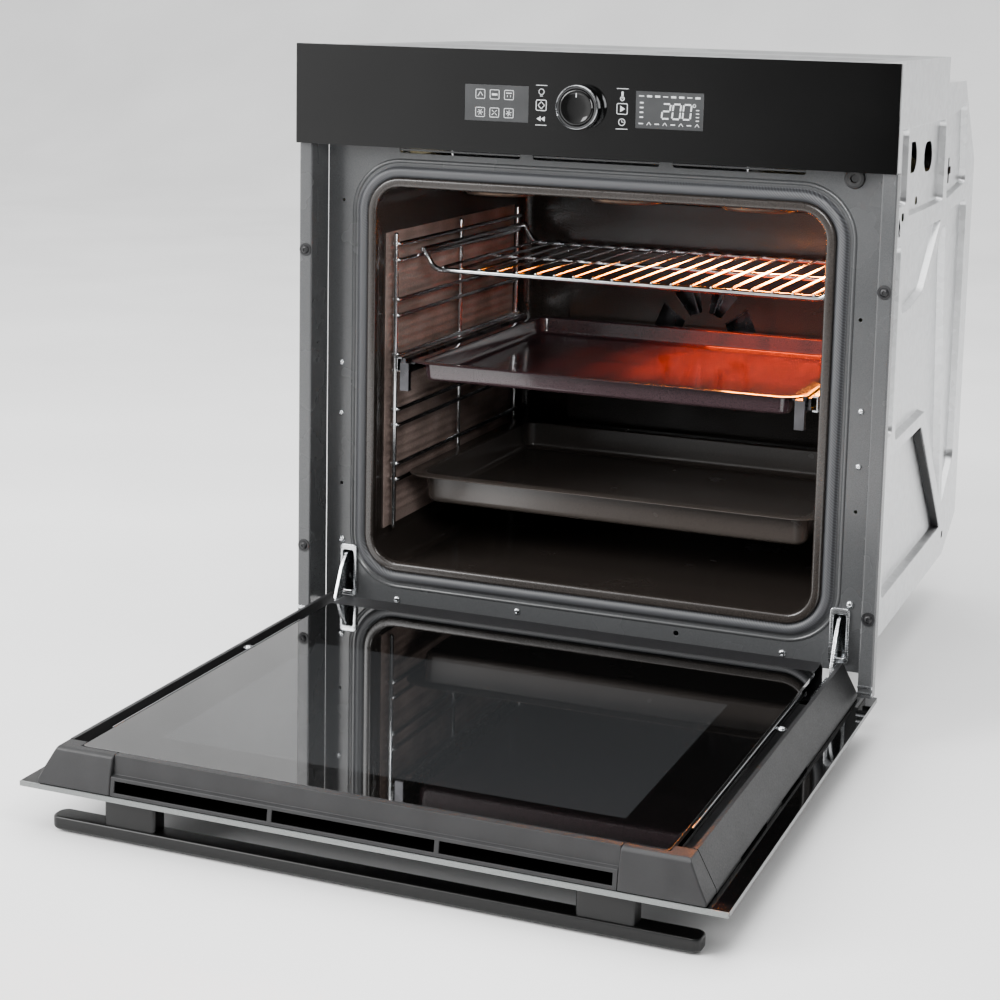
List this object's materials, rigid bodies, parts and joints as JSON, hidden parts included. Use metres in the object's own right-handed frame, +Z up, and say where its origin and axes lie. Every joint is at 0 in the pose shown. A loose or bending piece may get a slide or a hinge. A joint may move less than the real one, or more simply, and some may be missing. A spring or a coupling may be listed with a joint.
{
  "type": "built-in oven",
  "caption": "Built-in electric wall oven with its drop-down door lying open, a selector between two displays, wire racks, a shelf, a tray on telescopic runners and a deep pan",
  "frame": {"origin": "base underside, midway between the sides and above the middle of the open assembly", "axes": "+X to the user's right, the front faces -Y, +Z up; stored with the door lying open"},
  "size_m": [0.595, 1.022, 0.627],
  "materials": {
    "enamel": "grey vitreous enamel, semi-gloss",
    "tray_enamel": "dark violet-brown enamel, glossy",
    "pan_enamel": "grey-brown enamel",
    "galvanised": "galvanised sheet",
    "zinc": "bright zinc plate",
    "runner_steel": "dark passivated steel",
    "chrome_wire": "chromed wire",
    "chrome_trim": "polished ring",
    "control_glass": "black back-printed glass",
    "door_glass": "black printed float glass",
    "inner_glass": "coated glass with a black border",
    "rail_paint": "grey powder coat, satin",
    "handle_paint": "black anodised, satin",
    "black_plastic": "fine texture",
    "seal_rubber": "grey silicone braid",
    "bumper_rubber": "matte",
    "mineral_wool": "needled fibre",
    "catalytic": "porous catalytic enamel",
    "heater_steel": "oxidised tube",
    "lamp_glass": "pressed glass",
    "display_face": "dark grey display face",
    "circuit_board": "solder mask",
    "symbol_print": "pale printed symbols",
    "screw_black": "black oxide"
  },
  "bodies": {
    "oven": {"side_panel_left": "galvanised", "side_panel_right": "galvanised", "top_cover": "galvanised", "rear_cover": "galvanised", "base_panel": "galvanised", "front_frame": "enamel", "column_trim_left": "enamel", "column_trim_right": "enamel", "cavity_liner": "enamel", "cavity_seal": "seal_rubber", "insulation_wrap": "mineral_wool", "fan_baffle": "enamel", "ring_element": "heater_steel", "fan_motor": "galvanised", "grill_element": "heater_steel", "base_element": "heater_steel", "lamp_housing": "zinc", "lamp_lens": "lamp_glass", "blower_housing": "galvanised", "blower_motor": "galvanised", "control_fascia": "control_glass", "fascia_carrier": "galvanised", "display_left": "display_face", "display_right": "display_face", "control_board": "circuit_board", "dial_encoder": "black_plastic", "side_rack_left": "chrome_wire", "side_rack_right": "chrome_wire", "catalytic_panel_left": "catalytic", "catalytic_panel_right": "catalytic", "runner_rail_left": "zinc", "runner_rail_right": "zinc", "hinge_body_left": "zinc", "hinge_body_right": "zinc", "terminal_block": "black_plastic", "door_bumper": "bumper_rubber"},
    "door": {"door_outer_glass": "door_glass", "door_middle_glass": "inner_glass", "door_inner_glass": "inner_glass", "door_top_rail": "rail_paint", "door_bottom_rail": "black_plastic", "door_side_rail_left": "rail_paint", "door_side_rail_right": "rail_paint", "door_end_cap_left": "rail_paint", "door_end_cap_right": "rail_paint", "door_handle": "handle_paint", "hinge_arm_left": "zinc", "hinge_arm_right": "zinc"},
    "selector_ring": {"dial_ring": "chrome_trim"},
    "selector_button": {"dial_cap": "control_glass"},
    "shelf": {"wire_shelf": "chrome_wire"},
    "runner_middles": {"runner_middle_left": "runner_steel", "runner_middle_right": "runner_steel"},
    "tray": {"baking_tray": "tray_enamel", "runner_slider_left": "runner_steel", "runner_slider_right": "runner_steel"},
    "pan": {"drip_pan": "pan_enamel"},
    "fan": {"fan_wheel": "galvanised"},
    "blower": {"blower_wheel": "galvanised"}
  },
  "joints": [
    {"name": "door_hinge", "type": "hinge", "parent": "oven", "child": "door", "pos_m": [0, -0.2505, -0.0105], "axis": [1, 0, 0], "range_deg": [-90, 0]},
    {"name": "selector_turn", "type": "hinge", "parent": "oven", "child": "selector_ring", "pos_m": [0, -0.265, 0.515], "axis": [0, 1, 0], "continuous": true},
    {"name": "selector_press", "type": "slide", "parent": "selector_ring", "child": "selector_button", "axis": [0, 1, 0], "range_m": [0, 0.0015], "stiffness_N_per_m": 900, "springref_m": -0.0005},
    {"name": "shelf_slide", "type": "slide", "parent": "oven", "child": "shelf", "axis": [0, -1, 0], "range_m": [0, 0.38]},
    {"name": "tray_slide", "type": "slide", "parent": "oven", "child": "tray", "axis": [0, -1, 0], "range_m": [0, 0.34]},
    {"name": "runner_half", "type": "slide", "parent": "oven", "child": "runner_middles", "axis": [0, -1, 0], "range_m": [0, 0.17]},
    {"name": "pan_slide", "type": "slide", "parent": "oven", "child": "pan", "axis": [0, -1, 0], "range_m": [0, 0.37]},
    {"name": "fan_spin", "type": "hinge", "parent": "oven", "child": "fan", "pos_m": [0, 0.17, 0.2355], "axis": [0, 1, 0], "continuous": true},
    {"name": "blower_spin", "type": "hinge", "parent": "oven", "child": "blower", "pos_m": [0, 0.005, 0.5075], "axis": [1, 0, 0], "continuous": true}
  ],
  "couplings": [
    {"joint": "runner_half", "follows": "tray_slide", "ratio": 0.5}
  ]
}
